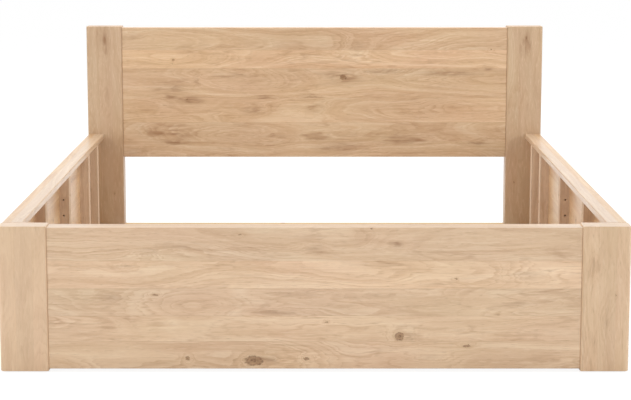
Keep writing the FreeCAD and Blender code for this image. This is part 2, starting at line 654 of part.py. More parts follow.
def beam_hanger():
    """A folded steel hanger: a saddle for the beam's end on a plate with a flange at each side."""
    body = doc.addObject("PartDesign::Body", "beam_hanger_blank")
    inner = "(beam_width / 2 + hanger_play)"
    outer = f"({inner} + hanger_thickness)"
    cheek = "hanger_cheek_height"
    saddle = [
        (f"-{outer}", "-hanger_thickness"), (outer, "-hanger_thickness"), (outer, cheek), (inner, cheek),
        (inner, "0"), (f"-{inner}", "0"), (f"-{inner}", cheek), (f"-{outer}", cheek),
    ]
    padded(body, "saddle", outline(body, "saddle_section", "y", saddle), "hanger_reach")
    side = "(beam_width / 2 + hanger_flange)"
    top = "cleat_height - hanger_top_gap"
    plate = [(f"-{side}", "-hanger_thickness"), (side, "-hanger_thickness"), (side, top), (f"-{side}", top)]
    padded(body, "back_plate", outline(body, "back_plate_outline", "y", plate), "hanger_thickness", backwards=True)
    place(body, "0", beam_end, BEAM_BOTTOM)
    return body


head_hanger = cut("beam_hanger_head", beam_hanger(), [hanger_screw_holes])
node("beam_hanger_head", head_hanger)
node("beam_hanger_foot", mirrored("beam_hanger_foot", head_hanger, AXES["y"]))

doc.recompute()
for piece in doc.Objects:
    if {"Invalid", "Error"} & set(piece.State):
        raise RuntimeError(f"{piece.Label} did not build: {piece.State}")
for label, piece in NODES.items():
    if piece.Shape.isNull() or not piece.Shape.isValid() or not piece.Shape.Solids:
        raise RuntimeError(f"{label} has no valid shape")

os.makedirs("parts", exist_ok=True)
for label, piece in NODES.items():
    piece.Shape.exportStep(f"parts/{label}.step")
print(len(NODES), "nodes,", sum(len(piece.Shape.Solids) for piece in NODES.values()), "solids")
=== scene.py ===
import functools
import math

import bmesh
import bpy
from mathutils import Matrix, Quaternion, Vector


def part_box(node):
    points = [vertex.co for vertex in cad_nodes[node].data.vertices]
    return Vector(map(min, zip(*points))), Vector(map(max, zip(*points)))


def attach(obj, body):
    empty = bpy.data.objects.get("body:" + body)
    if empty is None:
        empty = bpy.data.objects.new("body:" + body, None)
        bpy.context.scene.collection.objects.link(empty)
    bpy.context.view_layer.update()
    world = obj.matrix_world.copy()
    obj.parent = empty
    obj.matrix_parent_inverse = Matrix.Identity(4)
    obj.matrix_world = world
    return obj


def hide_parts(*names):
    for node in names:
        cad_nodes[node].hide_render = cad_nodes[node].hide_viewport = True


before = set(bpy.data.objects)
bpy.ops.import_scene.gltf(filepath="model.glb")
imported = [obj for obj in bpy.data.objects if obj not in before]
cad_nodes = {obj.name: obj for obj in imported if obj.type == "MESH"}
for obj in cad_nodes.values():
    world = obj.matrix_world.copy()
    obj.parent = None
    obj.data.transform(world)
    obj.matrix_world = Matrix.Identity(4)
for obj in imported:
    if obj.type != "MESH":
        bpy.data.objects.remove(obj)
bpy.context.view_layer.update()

# A bed frame of solid knotty oak: staved panels between broad posts, upright battens behind them.
# The CAD parts are kept as they are and get their finishes here. Small metal pieces that show their
# making, the screws and the levelling foot's threaded stem, are modelled anew.

bpy.ops.object.select_all(action="DESELECT")

MM = 0.001

# Turns that bring a board's length to X, its width to Y and its thickness to Z. All of the boards stand
# on edge, except those with the flat one.
GRAIN_ACROSS_BED = (-90, 0, 0)
GRAIN_ALONG_BED = (-90, -90, 0)
GRAIN_ALONG_BED_FLAT = (0, 0, -90)
GRAIN_UPRIGHT = (90, 0, 90)
GRAIN_UPRIGHT_ON_SIDE = (0, 90, 0)


# ---- Finishes --------------------------------------------------------------------------------------

def srgb(code):
    """A colour written as sRGB hex, as the linear one that a socket takes."""
    channels = [int(code[i:i + 2], 16) / 255 for i in (1, 3, 5)]
    return tuple(c / 12.92 if c <= 0.04045 else ((c + 0.055) / 1.055) ** 2.4 for c in channels) + (1.0,)


def add(tree, kind, links=None, stops=None, **settings):
    """Adds one node with its settings. Each entry of links is a plain value, a socket, or a node whose
    first output is used. Stops are a ramp's places and colours."""
    node = tree.nodes.new("ShaderNode" + kind)
    for setting, value in settings.items():
        setattr(node, setting, value)
    if stops:
        ramp = node.color_ramp
        while len(ramp.elements) < len(stops):
            ramp.elements.new(1.0)
        for element, (position, colour) in zip(ramp.elements, stops):
            element.position = position
            element.color = srgb(colour) if isinstance(colour, str) else colour
    for key, value in (links or {}).items():
        named = [s for s in node.inputs if s.enabled and s.name == key]
        socket = named[0] if named else node.inputs[key]
        if isinstance(value, bpy.types.Node):
            value = next(s for s in value.outputs if s.enabled)
        if isinstance(value, bpy.types.NodeSocket):
            tree.links.new(value, socket)
        else:
            socket.default_value = value
    return node


def blank(name):
    """An empty material, and what adds nodes to it."""
    material = bpy.data.materials.new(name)
    material.use_nodes = True
    material.node_tree.nodes.clear()
    return material, functools.partial(add, material.node_tree)


def grey(level):
    return (level, level, level, 1.0)


# Numbers this far apart, counted round from 0 to 1, never come close to each other
GOLDEN_STEP = 0.618034


def stave_stops(joints, tones):
    """Ramp stops for the staves between the joints, which run from 0 to 1 over the board's width.
    Red is a stave's tone, green its middle and blue a number of its own."""
    low, span = joints[0], joints[-1] - joints[0]
    stops = []
    for number, (start, end, tone) in enumerate(zip(joints, joints[1:], tones)):
        middle = ((start + end) / 2 - low) / span
        own = (0.37 + number * GOLDEN_STEP) % 1.0
        stops.append(((start - low) / span, (tone, middle, own, 1.0)))
    return stops


def line_stops(joints, width):
    """Ramp stops for a thin line at each joint but the outer two, over the same width from 0 to 1. Each
    fades out at so much width on both sides."""
    low, span = joints[0], joints[-1] - joints[0]
    stops = []
    for joint in joints[1:-1]:
        for offset, level in ((-width, 0.0), (-width / 3, 1.0), (width / 3, 1.0), (width, 0.0)):
            stops.append(((joint + offset - low) / span, grey(level)))
    return stops or [(0.0, grey(0.0)), (1.0, grey(0.0))]


# Patterns are drawn out along the grain: a Mapping's three scales are their changes in a metre along,
# across and through the board. These two shake the ground, in metres: the first gives knots a ragged
# rim, and the second tears clouds along the grain.
RAGGED = (0.022, 0.013, 0.0)
TORN = (0.100, 0.026, 0.0)
# Distances from a knot are in its own radii: where none is near, how softly two knots run together, and
# the share that turns them into a ramp's places, so that a ramp is four radii long
NONE_NEAR = 9.0
MELT = 0.25
RAMP_SHARE = 0.25


def oak_knots(node, board, log, start, knots, clouds, stray_knots):
    """How far each point is from the nearest knot, and from the nearest cloud, in their own radii."""
    ragged = node("TexNoise", {"Vector": log, "Scale": 75.0, "Detail": 3.0, "Roughness": 0.65})
    ragged = node("VectorMath", {0: ragged.outputs["Color"], 1: RAGGED, 2: board},
                  operation="MULTIPLY_ADD")
    torn = node("Mapping", {"Vector": log, "Scale": (9.0, 52.0, 52.0)})
    torn = node("TexNoise", {"Vector": torn, "Scale": 1.0, "Detail": 4.0, "Roughness": 0.68,
                             "Distortion": 0.5})
    torn = node("VectorMath", {0: torn.outputs["Color"], 1: TORN, 2: board}, operation="MULTIPLY_ADD")
    distances = []
    for ground, shake, marks in ((ragged, RAGGED, knots), (torn, TORN, clouds)):
        nearest = node("Math", {0: NONE_NEAR, 1: 0.0}, operation="ADD")
        for along, across, length, breadth, faintness in marks:
            # On average the ground moves by half its shake. A knot goes right through the board.
            middle = (along * MM + shake[0] / 2, across * MM + shake[1] / 2, 0)
            half_sizes = (length * MM / 2, breadth * MM / 2, 1000.0)
            radii = node("Mapping", {"Vector": ground, "Location": middle, "Scale": half_sizes},
                         vector_type="TEXTURE")
            radii = node("VectorMath", {0: radii}, operation="LENGTH")
            radii = node("Math", {0: radii, 1: faintness}, operation="ADD")
            nearest = node("Math", {0: nearest, 1: radii, 2: MELT}, operation="SMOOTH_MIN")
        distances.append(nearest)
    nearest, buried = distances
    if stray_knots:
        # In each cell of this pattern grows one knot, seldom a large one
        moved = node("Mapping", {"Vector": ragged, "Location": (start * 1.7, start, 0),
                                 "Scale": (2.1, 4.4, 1)})
        stray = node("TexVoronoi", {"Vector": moved, "Scale": 1.0}, voronoi_dimensions="2D")
        size = node("SeparateColor", {0: stray.outputs["Color"]})
        size = node("Math", {0: size, 1: 3.0}, operation="POWER")
        size = node("Math", {0: size, 1: 0.075 * stray_knots, 2: 0.006}, operation="MULTIPLY_ADD")
        radii = node("Math", {0: stray.outputs["Distance"], 1: size}, operation="DIVIDE")
        nearest = node("Math", {0: nearest, 1: radii}, operation="MINIMUM")
    return nearest, buried


def pith_distance(node, log, across, depth, middle, luck, joints, pith):
    """How far each point is from its stave's pith, in metres. The pith lies behind the stave's middle,
    give or take its own luck, and it wanders along the stave."""
    low, high = joints[0], joints[-1]
    luck_across, luck_behind, wander, ripple_height = 0.08, 0.04, 0.15, 0.010
    drift = node("Mapping", {"Vector": log, "Scale": (1.1, 2.5, 2.5)})
    drift = node("TexNoise", {"Vector": drift, "Scale": 1.0, "Detail": 2.0, "Roughness": 0.45})
    ripple = node("Mapping", {"Vector": log, "Scale": (7.0, 30.0, 30.0)})
    ripple = node("TexNoise", {"Vector": ripple, "Scale": 1.0, "Detail": 3.0, "Roughness": 0.55})
    middle = node("Math", {0: middle, 1: high - low, 2: low}, operation="MULTIPLY_ADD")
    beside = node("Math", {0: across, 1: middle}, operation="SUBTRACT")
    beside = node("Math", {0: luck.outputs["X"], 1: luck_across, 2: beside}, operation="MULTIPLY_ADD")
    beside = node("Math", {0: beside, 1: luck_across / 2}, operation="SUBTRACT")
    behind = node("Math", {0: depth}, operation="ABSOLUTE")
    behind = node("Math", {0: behind, 1: pith * MM}, operation="SUBTRACT")
    behind = node("Math", {0: drift, 1: wander, 2: behind}, operation="MULTIPLY_ADD")
    behind = node("Math", {0: luck.outputs["Y"], 1: luck_behind, 2: behind}, operation="MULTIPLY_ADD")
    radius = node("CombineXYZ", {"X": beside, "Y": behind})
    radius = node("VectorMath", {0: radius}, operation="LENGTH")
    return node("Math", {0: ripple, 1: ripple_height, 2: radius}, operation="MULTIPLY_ADD")


def oiled_oak(name, grain, joints, tones, start=0.0, pith=0, knots=(), clouds=(), stray_knots=0.0,
              ring=3.6, light_matched_saturation=1.0, polish=0.5, liveliness=1.0, fibres=1.0):
    """Knotty European oak, glued up from staves, planed and sanded along the grain and rubbed with a
    matt pale oil. The eye gets a quiet straw colour, growth rings cut into arches and streaks, staves
    that differ a little in tone, dark open pores in rows along the rings, small silky flecks, and brown
    knots that the rings flow round.
    Sizes are in millimetres. joints are the glue lines across the width, and tones how light the staves
    between them are, 0.5 being plain. start picks another place in the log. pith is how far from the
    bed's middle the rings' middle lies, through the board, and ring is the mean ring width. knots are
    (along, across, length, breadth, faintness), and clouds are buried knots, which only stain and bend
    the wood. stray_knots is how large the knots grow that turn up by chance. light_matched_saturation is
    the colour's saturation, set part by part for the light and shade that each part gets: painted shade,
    not a difference in the wood. polish is the oil's share of sheen, liveliness how much the light and
    dark wood differ, and fibres how much of that is fine lines: less in quietly grown wood."""
    material, node = blank(name)
    joints = [joint * MM for joint in joints]
    place = node("TexCoord")
    board = node("Mapping", {"Vector": place.outputs["Object"],
                             "Rotation": tuple(math.radians(turn) for turn in grain)})
    sides = node("SeparateXYZ", {0: board})
    across, depth = sides.outputs["Y"], sides.outputs["Z"]
    share = node("MapRange", {"Value": across, "From Min": joints[0], "From Max": joints[-1]})
    stave = node("ValToRGB", {"Fac": share}, stops=stave_stops(joints, tones))
    stave.color_ramp.interpolation = "CONSTANT"
    stave_facts = node("SeparateColor", {0: stave})
    tone, middle, own = stave_facts.outputs
    # Glue lines are 0.1 mm wide: these are drawn about 2 mm wide, soft and faint, to show.
    glue = node("ValToRGB", {"Fac": share}, stops=line_stops(joints, 1.6 * MM))

    # Each stave comes from a log of its own: the pattern jumps some metres from one to the next.
    dice = node("TexWhiteNoise", {"W": own}, noise_dimensions="1D")
    luck = node("SeparateXYZ", {0: dice.outputs["Color"]})
    log = node("VectorMath", {0: dice.outputs["Color"], 1: (7.0, 5.0, 3.0), 2: board},
               operation="MULTIPLY_ADD")
    log = node("VectorMath", {0: log, 1: (start, start, start)}, operation="ADD")

    nearest, buried = oak_knots(node, board, log, start, knots, clouds, stray_knots)
    radius = pith_distance(node, log, across, depth, middle, luck, joints, pith)

    # Growth rings: the wood swells 16 mm round a knot, and fat and lean years follow each other
    swell = node("Math", {0: nearest, 1: buried}, operation="MINIMUM")
    swell = node("Math", {0: swell, 1: swell}, operation="MULTIPLY")
    swell = node("Math", {0: swell, 1: -0.22}, operation="MULTIPLY")
    swell = node("Math", {0: swell}, operation="EXPONENT")
    radius = node("Math", {0: swell, 1: 16 * MM, 2: radius}, operation="MULTIPLY_ADD")
    years = node("Math", {0: radius, 1: ring * MM}, operation="DIVIDE")
    fat_years = node("TexNoise", {"W": years, "Scale": 0.21, "Detail": 3.0, "Roughness": 0.6},
                     noise_dimensions="1D")
    years = node("Math", {0: fat_years, 1: 2.2, 2: years}, operation="MULTIPLY_ADD")
    season = node("Math", {0: years}, operation="FRACT")
    season = node("ValToRGB", {"Fac": season}, stops=[
        (0.0, grey(0.55)), (0.10, grey(0.05)), (0.30, grey(0.35)), (0.62, grey(0.85)), (0.90, grey(1.0))])
    weight = node("Mapping", {"Vector": log, "Scale": (2.6, 16.0, 16.0)})
    weight = node("TexNoise", {"Vector": weight, "Scale": 1.0, "Detail": 1.0})
    weight = node("MapRange", {"Value": weight, "From Min": 0.34, "From Max": 0.68})
    spring = node("MapRange", {"Value": season, "From Min": 0.05, "From Max": 0.75,
                               "To Min": 1.7, "To Max": 0.5})
    season = node("Math", {0: season, 1: -0.6}, operation="ADD")
    season = node("Math", {0: season, 1: weight}, operation="MULTIPLY")

    # Streaks, fibres, pores and flecks. Real pores are 0.3 mm wide: these are drawn 1.4 mm wide to show.
    streak = node("Mapping", {"Vector": log, "Scale": (2.6, 44.0, 44.0)})
    streak = node("TexNoise", {"Vector": streak, "Scale": 1.0, "Detail": 3.0, "Roughness": 0.6,
                               "Distortion": 0.6})
    fibre = node("Mapping", {"Vector": log, "Scale": (5.0, 230.0, 230.0)})
    fibre = node("TexNoise", {"Vector": fibre, "Scale": 1.0, "Detail": 4.0, "Roughness": 0.6})
    pore = node("Mapping", {"Vector": log, "Scale": (42.0, 700.0, 700.0)})
    pore = node("TexNoise", {"Vector": pore, "Scale": 1.0, "Detail": 1.0})
    pore = node("MapRange", {"Value": pore, "From Min": 0.56, "From Max": 0.70})
    pore = node("Math", {0: pore, 1: spring}, operation="MULTIPLY")
    vein = node("Mapping", {"Vector": log, "Scale": (7.0, 130.0, 130.0)})
    vein = node("TexNoise", {"Vector": vein, "Scale": 1.0, "Detail": 2.0, "Distortion": 0.5})
    vein = node("MapRange", {"Value": vein, "From Min": 0.60, "From Max": 0.72})
    vein = node("Math", {0: vein, 1: weight}, operation="MULTIPLY")
    wave = node("Mapping", {"Vector": log, "Scale": (9.0, 44.0, 44.0)})
    wave = node("TexNoise", {"Vector": wave, "Scale": 1.0, "Detail": 2.0, "Distortion": 1.3})
    gloom = node("Mapping", {"Vector": log, "Scale": (3.4, 11.0, 11.0), "Location": (4.0, 2.0, 1.0)})
    gloom = node("TexNoise", {"Vector": gloom, "Scale": 1.0, "Detail": 1.0})
    gloom = node("MapRange", {"Value": gloom, "From Min": 0.46, "From Max": 0.62})
    smear = node("MapRange", {"Value": wave, "From Min": 0.50, "From Max": 0.70})
    smear = node("Math", {0: smear, 1: gloom}, operation="MULTIPLY")
    fleck = node("Mapping", {"Vector": log, "Scale": (30.0, 210.0, 80.0)})
    fleck = node("TexNoise", {"Vector": fleck, "Scale": 1.0, "Detail": 1.0})
    fleck = node("MapRange", {"Value": fleck, "From Min": 0.58, "From Max": 0.72})

    # Colour: light and dark wood by ring and fibre, then the stave's tone and slow changes of hue
    figure = node("Math", {0: season, 1: 0.30}, operation="MULTIPLY")
    for pattern, strength in ((fat_years, 0.90), (streak, 0.58), (fibre, 0.36 * fibres)):
        figure = node("Math", {0: pattern, 1: strength, 2: figure}, operation="MULTIPLY_ADD")
    average = 0.73 + 0.18 * fibres
    figure = node("MapRange", {"Value": figure, "From Min": average - 0.5 / liveliness,
                               "From Max": average + 0.46 / liveliness})
    colour = node("ValToRGB", {"Fac": figure}, stops=[
        (0.0, "#B48C66"), (0.30, "#CCA680"), (0.60, "#DAB894"), (1.0, "#EBD2B2")])
    slow = node("Mapping", {"Vector": log, "Scale": (2.2, 7.0, 7.0)})
    slow = node("TexNoise", {"Vector": slow, "Scale": 1.0, "Detail": 2.0})
    slow_tone = node("MapRange", {"Value": slow, "From Min": 0.3, "From Max": 0.7,
                                  "To Min": 0.96, "To Max": 1.04})
    hue = node("SeparateColor", {0: slow.outputs["Color"]})
    hue = node("MapRange", {"Value": hue.outputs[1], "From Min": 0.3, "From Max": 0.7,
                            "To Min": 0.498, "To Max": 0.505})
    value = node("Math", {0: tone, 1: slow_tone}, operation="MULTIPLY")
    value = node("Math", {0: value, 1: 2.0}, operation="MULTIPLY")
    # The saturation is set part by part to match how each part's colour looks in its light and shade:
    # painted shade, not a difference in the wood.
    colour = node("HueSaturation", {"Color": colour, "Hue": hue, "Saturation": light_matched_saturation,
                                    "Value": value})
    for pattern, strength, tint in (
            (pore, 0.20 * fibres, "#8E6743"), (vein, 0.36 * fibres, "#A1774F"),
            (smear, 0.42 * liveliness, "#A67B55"), (glue, 0.16, "#9A7049"), (fleck, 0.18, "#EFD9BC")):
        cover = node("Math", {0: pattern, 1: strength}, operation="MULTIPLY")
        colour = node("Mix", {"Factor": cover, "A": colour, "B": srgb(tint)}, data_type="RGBA")

    # The knots' stain in the wood round them, their own mottled wood, and the broken line of bark
    mottle = node("TexNoise", {"Vector": log, "Scale": 190.0, "Detail": 3.0, "Roughness": 0.7})
    near = node("Math", {0: nearest, 1: RAMP_SHARE}, operation="MULTIPLY")
    stain = node("ValToRGB", {"Fac": near}, stops=[
        (0.0, grey(0.85)), (0.22, grey(0.66)), (0.28, grey(0.18)), (0.50, grey(0.05)), (0.8, grey(0.0))])
    colour = node("Mix", {"Factor": stain, "A": colour, "B": srgb("#B0875A")}, data_type="RGBA")
    cloud = node("Math", {0: buried, 1: RAMP_SHARE}, operation="MULTIPLY")
    cloud = node("ValToRGB", {"Fac": cloud}, stops=[
        (0.0, grey(0.50)), (0.14, grey(0.45)), (0.25, grey(0.32)), (0.36, grey(0.14)), (0.50, grey(0.0))])
    streaky = node("MapRange", {"Value": streak, "From Min": 0.36, "From Max": 0.62,
                                "To Min": 1.5, "To Max": 0.45})
    cloud = node("Math", {0: cloud, 1: streaky}, operation="MULTIPLY")
    wavy = node("MapRange", {"Value": wave, "From Min": 0.42, "From Max": 0.60,
                             "To Min": 0.6, "To Max": 1.45})
    cloud = node("Math", {0: cloud, 1: wavy}, operation="MULTIPLY")
    colour = node("Mix", {"Factor": cloud, "A": colour, "B": srgb("#8F6642")}, data_type="RGBA")
    heart = node("ValToRGB", {"Fac": near}, stops=[
        (0.0, grey(0.78)), (0.055, grey(0.70)), (0.105, grey(0.42)), (0.175, grey(0.34)),
        (0.205, grey(0.62)), (0.240, grey(0.56)), (0.265, grey(0.12)), (0.29, grey(0.0))])
    patchy = node("MapRange", {"Value": mottle, "From Min": 0.38, "From Max": 0.62,
                               "To Min": 1.30, "To Max": 0.45})
    heart = node("Math", {0: heart, 1: patchy}, operation="MULTIPLY")
    colour = node("Mix", {"Factor": heart, "A": colour, "B": srgb("#643F20")}, data_type="RGBA")

    rough = node("MapRange", {"Value": fibre, "From Min": 0.3, "From Max": 0.7,
                              "To Min": 0.42, "To Max": 0.54})
    relief = fibre
    for pattern, height in ((pore, -0.9), (season, 0.3), (heart, -0.8)):
        relief = node("Math", {0: pattern, 1: height, 2: relief}, operation="MULTIPLY_ADD")
    bump = node("Bump", {"Strength": 0.5, "Distance": 0.35 * MM, "Height": relief})
    shader = node("BsdfPrincipled", {"Base Color": colour, "Roughness": rough, "Normal": bump,
                                     "Specular IOR Level": min(0.5, polish), "Coat Weight": polish,
                                     "Coat Roughness": 0.30})
    node("OutputMaterial", {"Surface": shader})
    return material


def planed_pine(name, grain):
    """Scots pine laths, machine planed and left bare: pale yellow wood with orange-brown latewood
    lines, now and then a small red-brown knot, and a dry dull face."""
    ring, knot_radius, knot_stretch, bend, push = 2.6 * MM, 6.0 * MM, 1.5, 0.055, 0.014
    # About one knot in each 0.3 m of a lath
    knots_per_metre = (3.2, 20.0, 20.0)
    material, node = blank(name)
    place = node("TexCoord")
    board = node("Mapping", {"Vector": place.outputs["Object"],
                             "Rotation": tuple(math.radians(turn) for turn in grain)})
    drift = node("Mapping", {"Vector": board, "Scale": (0.7, 5.0, 5.0)})
    drift = node("TexNoise", {"Vector": drift, "Scale": 1.0, "Detail": 2.0})
    bent = node("VectorMath", {0: drift.outputs["Color"], 1: (0.0, bend, bend), 2: board},
                operation="MULTIPLY_ADD")
    rings = node("VectorMath", {0: bent, 1: (0.0, 1.0, 1.0)}, operation="MULTIPLY")
    rings = node("VectorMath", {0: rings}, operation="LENGTH")
    cells = node("Mapping", {"Vector": board, "Scale": knots_per_metre})
    cells = node("TexVoronoi", {"Vector": cells, "Scale": 1.0}, voronoi_dimensions="3D")
    cell_sizes = [1 / rate for rate in knots_per_metre]
    middle = node("VectorMath", {0: cells.outputs["Position"], 1: cell_sizes}, operation="MULTIPLY")
    knot = node("VectorMath", {0: board, 1: middle}, operation="SUBTRACT")
    knot = node("VectorMath", {0: knot, 1: (1 / knot_stretch, 1.0, 1.0)}, operation="MULTIPLY")
    knot = node("VectorMath", {0: knot}, operation="LENGTH")
    knot = node("Math", {0: knot.outputs["Value"], 1: knot_radius}, operation="DIVIDE")
    swell = node("Math", {0: knot, 1: -0.7}, operation="MULTIPLY")
    swell = node("Math", {0: swell}, operation="EXPONENT")
    rings = node("Math", {0: swell, 1: push, 2: rings}, operation="MULTIPLY_ADD")
    years = node("Math", {0: rings, 1: ring}, operation="DIVIDE")
    years = node("Math", {0: years}, operation="FRACT")
    fibre = node("Mapping", {"Vector": board, "Scale": (6.0, 400.0, 400.0)})
    fibre = node("TexNoise", {"Vector": fibre, "Scale": 1.0, "Detail": 3.0})
    figure = node("Math", {0: fibre, 1: 0.4, 2: years}, operation="MULTIPLY_ADD")
    colour = node("ValToRGB", {"Fac": figure}, stops=[
        (0.0, "#E3C99C"), (0.15, "#E8D2A8"), (0.60, "#E4CA9E"), (0.92, "#D6B282"), (1.0, "#CDA370")])
    mark = node("Math", {0: knot, 1: 0.4}, operation="MULTIPLY")
    mark = node("ValToRGB", {"Fac": mark}, stops=[
        (0.0, grey(0.85)), (0.12, grey(0.6)), (0.30, grey(0.66)), (0.37, grey(0.9)), (0.42, grey(0.25)),
        (0.8, grey(0.0))])
    colour = node("Mix", {"Factor": mark, "A": colour, "B": srgb("#8A5430")}, data_type="RGBA")
    rough = node("MapRange", {"Value": fibre, "To Min": 0.58, "To Max": 0.72})
    bump = node("Bump", {"Strength": 0.4, "Distance": 0.3 * MM, "Height": figure})
    shader = node("BsdfPrincipled", {"Base Color": colour, "Roughness": rough, "Normal": bump})
    node("OutputMaterial", {"Surface": shader})
    return material


def turned_beech(name):
    """Beech dowel rod, turned and fluted: even pink-brown wood with tiny darker rays."""
    material, node = blank(name)
    place = node("TexCoord")
    # Rays are 0.2 mm wide and 2 mm long: these are drawn 2 mm wide and 8 mm long to show.
    ray = node("Mapping", {"Vector": place.outputs["Object"], "Scale": (500.0, 500.0, 120.0)})
    ray = node("TexNoise", {"Vector": ray, "Scale": 1.0, "Detail": 2.0})
    colour = node("ValToRGB", {"Fac": ray}, stops=[
        (0.35, "#B98A5E"), (0.48, "#D2A679"), (0.7, "#DFB98E")])
    rough = node("MapRange", {"Value": ray, "To Min": 0.5, "To Max": 0.7})
    bump = node("Bump", {"Strength": 0.3, "Distance": 0.1 * MM, "Height": ray})
    shader = node("BsdfPrincipled", {"Base Color": colour, "Roughness": rough, "Normal": bump})
    node("OutputMaterial", {"Surface": shader})
    return material


def zinc_plated_steel(name):
    """Cold-formed steel with bright blue-passivated zinc: a cool silver skin, satin from the tumbling
    barrel, with faint cloudy stains and fine scuffs."""
    material, node = blank(name)
    place = node("TexCoord")
    cloud = node("TexNoise", {"Vector": place.outputs["Object"], "Scale": 55.0, "Detail": 3.0})
    # Scuffs from the barrel are 0.1 mm wide: these are drawn 1 mm wide to show.
    scuff = node("TexNoise", {"Vector": place.outputs["Object"], "Scale": 900.0, "Detail": 2.0})
    colour = node("ValToRGB", {"Fac": cloud}, stops=[
        (0.3, "#B9BEC6"), (0.55, "#CBCDCF"), (0.75, "#D2CFC4")])
    worn = node("Math", {0: scuff, 1: 0.4, 2: cloud}, operation="MULTIPLY_ADD")
    rough = node("MapRange", {"Value": worn, "From Min": 0.4, "From Max": 1.0,
                              "To Min": 0.24, "To Max": 0.42})
    bump = node("Bump", {"Strength": 0.2, "Distance": 0.05 * MM, "Height": scuff})
    shader = node("BsdfPrincipled", {"Base Color": colour, "Metallic": 1.0, "Roughness": rough,
                                     "Normal": bump})
    node("OutputMaterial", {"Surface": shader})
    return material


def moulded_nylon(name):
    """Black polyamide 6, injection moulded in a spark-eroded tool: a fine even grain and a low sheen."""
    material, node = blank(name)
    place = node("TexCoord")
    # The tool's grain is 0.1 mm wide: it is drawn 0.7 mm wide to show.
    grain = node("TexNoise", {"Vector": place.outputs["Object"], "Scale": 1400.0, "Detail": 2.0})
    dust = node("TexNoise", {"Vector": place.outputs["Object"], "Scale": 40.0, "Detail": 3.0})
    colour = node("ValToRGB", {"Fac": dust}, stops=[(0.35, "#1D1D1E"), (0.7, "#2B2A29")])
    rough = node("MapRange", {"Value": dust, "To Min": 0.42, "To Max": 0.60})
    bump = node("Bump", {"Strength": 0.3, "Distance": 0.05 * MM, "Height": grain})
    shader = node("BsdfPrincipled", {"Base Color": colour, "Roughness": rough, "IOR": 1.53,
                                     "Normal": bump})
    node("OutputMaterial", {"Surface": shader})
    return material


def pressed_felt(name):
    """Needled wool felt glides: matted grey-brown hair in all directions, with a soft bloom."""
    kink = 12 * MM
    material, node = blank(name)
    place = node("TexCoord")
    bend = node("TexNoise", {"Vector": place.outputs["Object"], "Scale": 120.0, "Detail": 2.0})
    hair = node("VectorMath", {0: bend.outputs["Color"], 1: (kink, kink, kink),
                               2: place.outputs["Object"]}, operation="MULTIPLY_ADD")
    # Hairs are 0.03 mm thick: these are drawn as tufts about 1 mm wide to show.
    hair = node("TexNoise", {"Vector": hair, "Scale": 1100.0, "Detail": 3.0, "Roughness": 0.7})
    colour = node("ValToRGB", {"Fac": hair}, stops=[
        (0.3, "#5B544C"), (0.5, "#7C746A"), (0.7, "#9C948A")])
    bump = node("Bump", {"Strength": 0.8, "Distance": 0.3 * MM, "Height": hair})
    shader = node("BsdfPrincipled", {"Base Color": colour, "Roughness": 0.95, "Sheen Weight": 0.3,
                                     "Sheen Roughness": 0.5, "Normal": bump})
    node("OutputMaterial", {"Surface": shader})
    return material


# Glue lines of the boards, in millimetres up from the floor or out from the middle of the bed
FOOT_JOINTS = (11, 97, 178, 263, 350, 458)
HEAD_JOINTS = (355, 423, 506, 613, 738, 818, 915)
SIDE_JOINTS = (9, 98, 187, 276, 362, 460)
POST_JOINTS = (-971, -921, -869, -819, 819, 869, 921, 971)
BATTEN_JOINTS = (-900, -173, 173, 700, 910)
# One piece of wood, far wider than any strip
WHOLE = (-1200, 1200)

# Knots, and clouds over buried knots: along, across, length and breadth in millimetres, and faintness
FOOTBOARD_KNOTS = (
    (-187, 37, 54, 30, 0.0), (-177, 36, 14, 10, 0.1), (-488, 244, 18, 8, 0.25), (-25, 42, 20, 10, 0.05),
    (261, 113, 34, 30, 0.15), (260, 115, 24, 22, 0.0), (259, 116, 13, 12, 0.0), (471, 84, 24, 8, 0.15),
    (-391, 44, 16, 12, 0.0), (174, 451, 30, 14, 0.75), (432, 295, 9, 5, 0.2), (-228, 432, 24, 9, 0.5),
    (37, 158, 12, 6, 0.3),
)
FOOTBOARD_CLOUDS = (
    (-138, 41, 50, 18, 0.1), (292, 112, 36, 34, 0.85), (-582, 333, 50, 12, 0.4),
    (-510, 375, 50, 26, 0.6), (-400, 397, 200, 40, 1.05), (0, 392, 60, 26, 0.9),
    (-90, 246, 220, 36, 0.9), (-620, 232, 80, 36, 0.7), (-110, 190, 180, 18, 0.9),
    (241, 401, 56, 28, 0.85), (655, 305, 120, 40, 0.9), (200, 238, 250, 28, 0.9),
    (600, 213, 150, 18, 0.8), (364, 48, 90, 20, 0.8), (450, 131, 50, 14, 0.6),
)
HEADBOARD_KNOTS = (
    (122, 701, 26, 24, 0.05), (-602, 776, 14, 10, 0.35), (752, 821, 9, 6, 0.2), (-606, 760, 10, 8, 0.6),
    (-545, 606, 20, 10, 0.45),
)
HEADBOARD_CLOUDS = (
    (112, 704, 180, 70, 0.55), (302, 725, 150, 18, 0.2), (593, 717, 220, 20, 0.3),
    (392, 436, 190, 46, 0.4), (6, 445, 100, 28, 0.3), (692, 415, 110, 18, 0.15),
    (113, 398, 200, 60, 0.65), (743, 738, 60, 28, 0.85), (178, 828, 80, 60, 0.75),
    (-540, 603, 130, 50, 0.5), (-499, 680, 30, 70, 0.6), (-615, 622, 60, 34, 0.4),
    (-600, 660, 240, 120, 0.9), (-268, 560, 80, 30, 0.35), (-5, 565, 90, 40, 0.65),
    (-630, 465, 240, 66, 0.6), (-600, 425, 130, 40, 0.5), (-780, 380, 60, 24, 0.4),
    (-210, 616, 80, 14, 0.3), (-20, 620, 100, 18, 0.5), (-340, 708, 150, 24, 0.5),
    (-180, 449, 120, 16, 0.3), (-770, 880, 110, 40, 0.75),
)
SIDE_KNOTS = ((-177, 306, 16, 14, 0.0),)
HEAD_POST_KNOTS = ((872, 902, 26, 14, 0.55), (200, -862, 34, 12, 0.75), (250, 858, 30, 12, 0.75))
